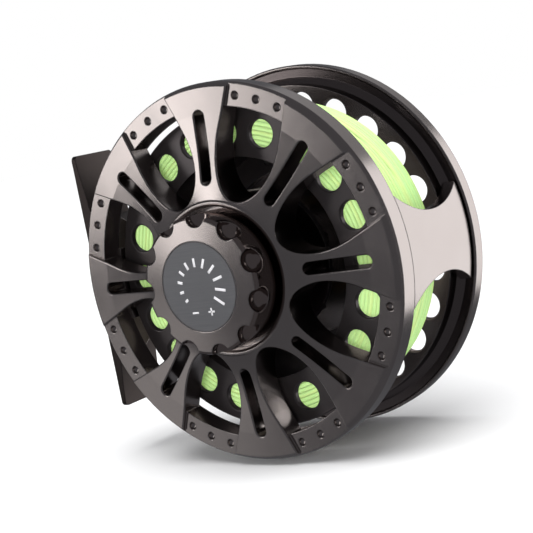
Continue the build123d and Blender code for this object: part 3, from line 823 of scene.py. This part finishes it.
# ---------------- modelling bench
class Bench:
    """Shapes new pieces with the operators used by hand."""

    WELD = 1e-6

    @staticmethod
    def clear() -> None:
        """Leave edit mode and deselect everything."""
        active = bpy.context.view_layer.objects.active
        if active and active.mode != "OBJECT":
            bpy.ops.object.mode_set(mode="OBJECT")
        bpy.ops.object.select_all(action="DESELECT")

    @staticmethod
    def settle(name: str, angle: float = 35.0) -> Piece:
        """Name the active piece, apply its place, and smooth it.

        Args:
            name: the piece's name.
            angle: edges sharper than this stay sharp, in degrees.

        Returns:
            The piece.
        """
        piece = bpy.context.view_layer.objects.active
        bpy.ops.object.transform_apply(location=True, rotation=True, scale=True)
        bpy.ops.object.shade_smooth_by_angle(angle=math.radians(angle))
        piece.name = name
        piece.data.name = name
        return piece

    @staticmethod
    def lathe(name: str, outline: list[Pair], axis: Pair, steps: int) -> Piece:
        """Spin a closed outline about a line along Y.

        Args:
            name: the piece's name.
            outline: (radius, y) points in order.
            axis: x and z of the line.
            steps: number of faces round it.

        Returns:
            The piece.
        """
        Bench.clear()
        first = outline[0]
        bpy.ops.mesh.primitive_plane_add(size=MM, location=(axis[0] + first[0], first[1], axis[1]))
        bpy.ops.object.transform_apply(location=True, rotation=True, scale=True)
        bpy.ops.object.mode_set(mode="EDIT")
        bpy.ops.mesh.select_all(action="SELECT")
        bpy.ops.mesh.merge(type="CENTER")
        here = first
        for there in outline[1:] + outline[:1]:
            step = (there[0] - here[0], there[1] - here[1], 0.0)
            bpy.ops.mesh.extrude_vertices_move(TRANSFORM_OT_translate={"value": step})
            here = there
        bpy.ops.mesh.select_all(action="SELECT")
        bpy.ops.mesh.remove_doubles(threshold=Bench.WELD)
        bpy.ops.mesh.spin(steps=steps, angle=FULL_TURN, center=(axis[0], 0.0, axis[1]), axis=(0, 1, 0))
        bpy.ops.mesh.select_all(action="SELECT")
        bpy.ops.mesh.remove_doubles(threshold=Bench.WELD)
        bpy.ops.mesh.normals_make_consistent(inside=False)
        bpy.ops.object.mode_set(mode="OBJECT")
        return Bench.settle(name)

    @staticmethod
    def bar(name: str, place: Point, size: Point, turned: float, round_off: float) -> Piece:
        """A small bar with rounded edges, turned about Y.

        Args:
            name: the piece's name.
            place: its middle.
            size: its sides before turning.
            turned: angle about Y in radians.
            round_off: radius of its edges.

        Returns:
            The piece.
        """
        Bench.clear()
        bpy.ops.mesh.primitive_cube_add(size=1.0, location=place, rotation=(0.0, turned, 0.0), scale=size)
        bpy.ops.object.transform_apply(location=False, rotation=False, scale=True)
        piece = bpy.context.view_layer.objects.active
        rounding = piece.modifiers.new("rounding", "BEVEL")
        rounding.width = round_off
        rounding.segments = 2
        bpy.ops.object.modifier_apply(modifier=rounding.name)
        return Bench.settle(name)

    @staticmethod
    def hoop(name: str, place: Point, radius: float, thickness: float, lean: Pair = (0.0, 0.0),
             steps: int = 112, sides: int = 8) -> Piece:
        """A round hoop about a line along Y, leaning a little.

        Args:
            name: the piece's name.
            place: its middle.
            radius: to the middle of its section.
            thickness: diameter of its section.
            lean: angles about X and Z in radians.
            steps: faces round the hoop.
            sides: faces round its section.

        Returns:
            The piece.
        """
        Bench.clear()
        bpy.ops.mesh.primitive_torus_add(location=place, rotation=(math.pi / 2 + lean[0], 0.0, lean[1]),
                                         major_radius=radius, minor_radius=thickness / 2,
                                         major_segments=steps, minor_segments=sides)
        return Bench.settle(name, 80.0)

    @staticmethod
    def join(name: str, pieces: list[Piece]) -> Piece:
        """Join pieces into one.

        Args:
            name: the joined piece's name.
            pieces: what goes into it.

        Returns:
            The joined piece.
        """
        Bench.clear()
        for piece in pieces:
            piece.select_set(True)
        bpy.context.view_layer.objects.active = pieces[0]
        bpy.ops.object.join()
        joined = bpy.context.view_layer.objects.active
        joined.name = name
        joined.data.name = name
        return joined


# ---------------- sub-assemblies
@dataclass
class FrameAssembly:
    """Front plate, pillars, foot and their screws."""

    shop: Paintshop
    slots: dict[str, Slot] = field(default_factory=lambda: {
        "frame_plate": Slot.GUNMETAL, "side_pillar": Slot.GUNMETAL, "foot_pillar": Slot.GUNMETAL,
        "reel_foot": Slot.FOOT, "pillar_screws": Slot.SCREW, "foot_screws": Slot.SCREW})

    def build(self) -> None:
        """Dress the fixed pieces."""
        self.shop.coat_nodes(self.slots)


@dataclass
class DragAssembly:
    """Sealed disc drag inside the front plate, with its clutch, bearings and clicks."""

    shop: Paintshop
    slots: dict[str, Slot] = field(default_factory=lambda: {
        "spindle": Slot.BEARING, "drag_cover": Slot.BLACK, "cover_screws": Slot.SCREW,
        "detent_spring": Slot.SPRING, "bearing_sleeve": Slot.BRASS, "inner_races": Slot.BEARING,
        "outer_races": Slot.BEARING, "bearing_balls": Slot.BEARING, "pawl_post": Slot.SCREW,
        "pawl_spring": Slot.SPRING, "pressure_plate": Slot.PLAIN, "thrust_pins": Slot.BEARING,
        "thrust_ring": Slot.BRASS, "spring_washers": Slot.SPRING, "drag_rotor": Slot.BEARING,
        "front_friction_disc": Slot.CARBON, "rear_friction_disc": Slot.CARBON, "clutch_shell": Slot.BEARING,
        "clutch_rollers": Slot.BEARING, "detent_ball": Slot.BEARING, "drive_sleeve": Slot.BEARING,
        "click_gear": Slot.BRASS, "click_pawl": Slot.SPRING, "latch_plate": Slot.SPRING})

    def build(self) -> None:
        """Dress the inner pieces."""
        self.shop.coat_nodes(self.slots)


@dataclass
class KnobAssembly:
    """Drag knob with its badge and tension scale."""

    shop: Paintshop
    slots: dict[str, Slot] = field(default_factory=lambda: {
        "detent_ring": Slot.GUNMETAL, "knob_badge": Slot.BADGE, "knob_nut": Slot.BRASS})
    front: float = -13.4 * MM
    badge_radius: float = 10.0 * MM
    shadow_ring_gap: float = 0.05 * MM
    shadow_ring_width: float = 0.16 * MM
    shadow_ring_proud: float = 0.05 * MM
    shadow_ring_ease: Pair = (0.04 * MM, 0.03 * MM)
    shadow_ring_sunk: float = 0.2 * MM
    scale_radius: float = 4.4 * MM
    ticks: int = 11
    sweep: float = math.radians(250)
    tick_lengths: Pair = (0.9 * MM, 3.0 * MM)
    tick_width: float = 0.62 * MM
    print_height: float = 0.12 * MM
    print_sunk: float = 0.02 * MM
    print_ease: float = 0.05 * MM
    sign_length: float = 1.7 * MM
    sign_width: float = 0.42 * MM
    sign_apart: float = 2.2 * MM
    sign_below: float = 5.6 * MM

    def build(self) -> None:
        """Dress the knob with painted shade on its side, print its scale, ring its badge with painted shadow.
        """
        self.shop.coat_node("drag_knob", Slot.GUNMETAL, KNOB_PAINTED_SHADE)
        self.shop.coat_nodes(self.slots)
        self.shop.fit_piece(self.tension_scale(), Slot.BADGE, Body.KNOB, INLAY)
        # Dark ring round the badge: painted shadow of the gap at its edge.
        self.shop.fit_piece(self.badge_shadow_ring(), Slot.BLACK, Body.KNOB)

    def printed_bar(self, name: str, x: float, z: float, size: Pair, turned: float = 0.0) -> Piece:
        """One printed bar on the badge.

        Args:
            name: the bar's name.
            x: its middle, from the spindle line.
            z: its middle, from the spindle line.
            size: its length and width.
            turned: angle about Y in radians.

        Returns:
            The bar.
        """
        place = (SPINDLE + x, at_depth(self.front) - self.print_sunk, z)
        return Bench.bar(name, place, (size[0], self.print_height, size[1]), turned, self.print_ease)

    def tension_scale(self) -> Piece:
        """Ticks that grow round an arc, with a minus and a plus under it.

        Returns:
            The scale.
        """
        marks = []
        shortest, longest = self.tick_lengths
        for tick in range(self.ticks):
            share = tick / (self.ticks - 1)
            angle = math.pi / 2 + self.sweep / 2 - share * self.sweep
            long = shortest + share * (longest - shortest)
            reach = self.scale_radius + long / 2
            marks.append(self.printed_bar(f"tick_{tick}", reach * math.cos(angle), reach * math.sin(angle),
                                          (long, self.tick_width), -angle))
        lying = (self.sign_length, self.sign_width)
        standing = (self.sign_width, self.sign_length)
        for name, x, size in (("minus", -self.sign_apart, lying), ("plus_lying", self.sign_apart, lying),
                              ("plus_standing", self.sign_apart, standing)):
            marks.append(self.printed_bar(name, x, -self.sign_below, size))
        return Bench.join("tension_scale", marks)

    def badge_shadow_ring(self) -> Piece:
        """Thin dark ring round the badge: painted shadow of the gap at its edge.

        Returns:
            The ring.
        """
        face = at_depth(self.front)
        top = face - self.shadow_ring_proud
        back = face + self.shadow_ring_sunk
        outer = self.badge_radius - self.shadow_ring_gap
        inner = outer - self.shadow_ring_width
        ease_in, ease_down = self.shadow_ring_ease
        outline = [(inner, back), (inner, top + ease_down), (inner + ease_in, top),
                   (outer - ease_in, top), (outer, top + ease_down), (outer, back)]
        return Bench.lathe("badge_shadow_ring", outline, (SPINDLE, 0.0), 120)


@dataclass
class SpoolAssembly:
    """Spool drum, back plate, cap, release and backing."""

    shop: Paintshop
    slots: dict[str, Slot] = field(default_factory=lambda: {
        "spool_drum": Slot.BLACK, "release_button": Slot.BLACK, "counterweight": Slot.GUNMETAL,
        "spool_cap": Slot.GUNMETAL, "joint_screws": Slot.SCREW, "backing": Slot.BACKING})

    def build(self) -> None:
        """Dress the spool."""
        # The plate's channel behind the palming rim carries painted shade.
        self.shop.coat_node("spool_plate", Slot.GUNMETAL, SPOOL_BACK)
        self.shop.coat_nodes(self.slots)


@dataclass
class HandleAssembly:
    """Handle on its post, with three rubber grip rings let into it."""

    shop: Paintshop
    slots: dict[str, Slot] = field(default_factory=lambda: {
        "handle_post": Slot.SCREW, "handle_knob": Slot.HANDLE})
    bore_clear: float = 4.5 * MM
    ring_thickness: float = 0.9 * MM
    ring_proud: float = 0.15 * MM
    ring_places: tuple[float, ...] = (0.58, 0.68, 0.78)

    def build(self) -> None:
        """Dress the handle and fit its rings."""
        self.shop.coat_nodes(self.slots)
        self.shop.fit_piece(self.grip_rings(), Slot.HANDLE, Body.HANDLE, RUBBER)

    def grip_rings(self) -> Piece:
        """Rings that follow the handle's own radius where they sit.

        Returns:
            The rings as one piece.
        """
        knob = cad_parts["handle_knob"]
        points = [knob.matrix_world @ vertex.co for vertex in knob.data.vertices]
        low, high = (Vector(edge(point[k] for point in points) for k in range(3)) for edge in (min, max))
        middle = (low + high) / 2
        reaches = [(point.y, math.hypot(point.x - middle.x, point.z - middle.z)) for point in points]
        skin = [(y, radius) for y, radius in reaches if radius > self.bore_clear]
        rings = []
        for count, place in enumerate(self.ring_places):
            y = low.y + place * (high.y - low.y)
            radius = self.radius_at(y, skin) + self.ring_proud - self.ring_thickness / 2
            rings.append(Bench.hoop(f"grip_{count}", (middle.x, y, middle.z), radius, self.ring_thickness,
                                    steps=72, sides=14))
        return Bench.join("grip_rings", rings)

    @staticmethod
    def radius_at(y: float, skin: list[Pair]) -> float:
        """The handle's radius at a place along it.

        Args:
            y: the place.
            skin: y and radius of the points of the handle's outside.

        Returns:
            The radius, read between the nearest points below and above.
        """
        below = max(point for point in skin if point[0] <= y)
        above = min(point for point in skin if point[0] > y)
        share = (y - below[0]) / (above[0] - below[0])
        return below[1] + share * (above[1] - below[1])


@dataclass
class WoundLine:
    """Fly line wound on the spool, turn by turn."""

    shop: Paintshop
    near: float = 6.75 * MM
    far: float = 27.7 * MM
    inner: float = 28.1 * MM
    outer: float = 35.75 * MM
    thickness: float = 1.08 * MM
    turn_squeeze: float = 0.985
    layer_squeeze: float = 0.97
    wander: float = 0.12 * MM
    turn_lean: float = 0.004
    layer_lean: float = 0.002
    stray_lean: Pair = (0.03, 0.16)
    stray_proud: float = 0.05 * MM
    unevenness: tuple[float, ...] = (0.0, 0.35, -0.2, 0.5, 0.1, -0.45, 0.3, -0.1, 0.45, -0.3, 0.15, 0.4,
                                     -0.5, 0.05, 0.25)

    def uneven(self, turn: int, shift: int = 0) -> float:
        """How far a turn sits from its even place, from -0.5 to 0.5, and the same each time."""
        return self.unevenness[(turn * 4 + shift) % len(self.unevenness)]

    def build(self) -> None:
        """Wind the line and give it its finish."""
        turns = [*self.outer_turns(), *self.end_layers(), self.stray_turn(), self.core()]
        line = Bench.join("wound_line", turns)
        self.shop.fit_piece(line, Slot.LINE, Body.SPOOL)
        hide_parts("fly_line")
        line.visible_diffuse = False
        line.visible_glossy = False

    def turn(self, name: str, depth: float, radius: float, lean: Pair) -> Piece:
        """One turn of line.

        Args:
            name: the turn's name.
            depth: depth of its middle.
            radius: to the middle of the line.
            lean: angles about X and Z in radians.

        Returns:
            The turn.
        """
        return Bench.hoop(name, (SPINDLE, at_depth(depth), 0.0), radius, self.thickness, lean)

    def outer_turns(self) -> list[Piece]:
        """The turns of the outermost layer, side by side.

        Returns:
            The turns.
        """
        half = self.thickness / 2
        count = int((self.far - self.near) / (self.thickness * self.turn_squeeze))
        pitch = (self.far - self.near - self.thickness) / (count - 1)
        turns = []
        for number in range(count):
            radius = self.outer - half + self.wander * self.uneven(number)
            lean = (self.turn_lean * self.uneven(number, 3), self.turn_lean * self.uneven(number, 7))
            turns.append(self.turn(f"turn_{number}", self.near + half + number * pitch, radius, lean))
        return turns

    def end_layers(self) -> list[Piece]:
        """The turns that lie against both flanges, seen through their holes.

        Returns:
            The turns.
        """
        half = self.thickness / 2
        layers = int((self.outer - self.inner) / self.thickness)
        turns = []
        for side, depth in enumerate((self.near + half, self.far - half)):
            for layer in range(1, layers + 1):
                radius = self.outer - half - layer * self.thickness * self.layer_squeeze
                lean = (self.layer_lean * self.uneven(layer, 2 + side),
                        self.layer_lean * self.uneven(layer, 5 + side))
                turns.append(self.turn(f"layer_{side}_{layer}", depth, radius, lean))
        return turns

    def stray_turn(self) -> Piece:
        """One turn that crosses the others at a slant."""
        return self.turn("stray", (self.near + self.far) / 2, self.outer + self.stray_proud, self.stray_lean)

    def core(self) -> Piece:
        """The turns underneath, as one closed ring.

        Returns:
            The ring.
        """
        low, high = self.inner, self.outer - self.thickness
        front, back = at_depth(self.near + self.thickness / 2), at_depth(self.far - self.thickness / 2)
        outline = [(low, front), (high, front), (high, back), (low, back)]
        return Bench.lathe("core", outline, (SPINDLE, 0.0), 128)


# ---------------- studio
@dataclass(frozen=True)
class Softbox:
    """One soft light panel, aimed at the reel."""

    name: str
    azimuth: float
    elevation: float
    distance: float
    size: Pair
    power: float
    seen_in_gloss: bool = True

    def hang(self, target: Vector) -> None:
        """Place the panel.

        Args:
            target: the point it faces.
        """
        lamp = bpy.data.lights.new(self.name, "AREA")
        lamp.shape = "RECTANGLE"
        lamp.size, lamp.size_y = self.size
        lamp.energy = self.power
        panel = bpy.data.objects.new(self.name, lamp)
        pull_back = Matrix.Translation((0.0, 0.0, self.distance))
        panel.matrix_world = Matrix.Translation(target) @ facing(self.azimuth, self.elevation) @ pull_back
        panel.visible_glossy = self.seen_in_gloss
        panel.visible_camera = False
        bpy.context.scene.collection.objects.link(panel)


@dataclass
class Studio:
    """Pale floor, soft lights, surroundings and the camera."""

    shop: Paintshop
    floor_height: float = -44.2 * MM
    floor_reach: float = 4.0
    floor_paper: Finish = MattePaper("floor_paper", (0.9, 0.9, 0.9))
    target: Point = (45.0 * MM, 0.0, 0.0)
    softboxes: tuple[Softbox, ...] = (
        Softbox("key_front_left", 229.4, 22.5, 1.3, (0.29, 1.2), 3.2),
        Softbox("low_front_left", 219.0, -17.0, 1.3, (0.55, 0.4), 0.3),
        Softbox("side_back_right", 54.0, 0.0, 1.2, (1.1, 1.1), 6.8),
        Softbox("back_top", 83.0, 40.0, 1.3, (1.3, 0.6), 0.7),
        Softbox("front_fill", 284.0, 6.0, 1.0, (0.5, 0.5), 5.4, seen_in_gloss=False),
    )
    daylight: float = 3.7
    daylight_spread: float = math.radians(60)
    daylight_tilt: Pair = (math.radians(12), math.radians(8))
    room_colour: Colour = (0.9, 0.92, 1.0)
    room_light: float = 0.14
    eye: Point = (234.872 * MM, -252.648 * MM, 34.105 * MM)
    eye_azimuth: float = -53.51536
    eye_elevation: float = 6.46461
    eye_roll: float = -11.03858
    lens: float = 90.675
    sensor: float = 36.0
    nearest: float = 10.0 * MM

    def build(self) -> None:
        """Set the floor, surroundings, lights and camera."""
        self.floor()
        self.surroundings()
        for softbox in self.softboxes:
            softbox.hang(Vector(self.target))
        self.skylight()
        self.camera()

    def skylight(self) -> None:
        """Even light from overhead for the floor and for matt surfaces."""
        lamp = bpy.data.lights.new("skylight", "SUN")
        lamp.energy = self.daylight
        lamp.angle = self.daylight_spread
        sky = bpy.data.objects.new("skylight", lamp)
        sky.rotation_euler = (*self.daylight_tilt, 0.0)
        sky.visible_glossy = False
        bpy.context.scene.collection.objects.link(sky)

    def floor(self) -> None:
        """A wide pale sheet under the reel."""
        Bench.clear()
        bpy.ops.mesh.primitive_grid_add(x_subdivisions=8, y_subdivisions=8, size=2 * self.floor_reach,
                                        location=(SPINDLE, 0.0, self.floor_height))
        sheet = Bench.settle("studio_floor")
        sheet.data.materials.append(self.shop.material(self.floor_paper))
        sheet.visible_glossy = False

    def surroundings(self) -> None:
        """White backdrop to the eye, dim room to everything else."""
        world = bpy.data.worlds.new("studio_room")
        bpy.context.scene.world = world
        world.use_nodes = True
        world.node_tree.nodes.clear()
        graph = Graph(world.node_tree)
        seen = graph.add("ShaderNodeLightPath")
        room = graph.add("ShaderNodeBackground", Color=(*self.room_colour, 1.0), Strength=self.room_light)
        backdrop = graph.add("ShaderNodeBackground", Color=(1.0, 1.0, 1.0, 1.0), Strength=1.0)
        choice = graph.add("ShaderNodeMixShader")
        end = graph.add("ShaderNodeOutputWorld")
        graph.link(seen.outputs["Is Camera Ray"], choice.inputs[0])
        graph.link(room.outputs[0], choice.inputs[1])
        graph.link(backdrop.outputs[0], choice.inputs[2])
        graph.link(choice.outputs[0], end.inputs[0])

    def camera(self) -> None:
        """Long lens, off to the right of the drag knob and a little above the spindle line."""
        lens = bpy.data.cameras.new("studio_camera")
        lens.lens = self.lens
        lens.sensor_width = self.sensor
        lens.clip_start = self.nearest
        camera = bpy.data.objects.new("studio_camera", lens)
        roll = Matrix.Rotation(math.radians(self.eye_roll), 4, "Z")
        turn = facing(self.eye_azimuth, self.eye_elevation) @ roll
        camera.matrix_world = Matrix.Translation(self.eye) @ turn
        bpy.context.scene.collection.objects.link(camera)
        bpy.context.scene.camera = camera
        bpy.context.scene.view_settings.view_transform = "Standard"


def main() -> None:
    """Build every sub-assembly in order, then the studio."""
    logging.basicConfig(level=logging.INFO, format="%(name)s: %(message)s")
    shop = Paintshop()
    for assembly in (FrameAssembly(shop), DragAssembly(shop), KnobAssembly(shop), SpoolAssembly(shop),
                     HandleAssembly(shop), WoundLine(shop), Studio(shop)):
        assembly.build()
        log.info("%s done", type(assembly).__name__)


if __name__ == "__main__":
    main()
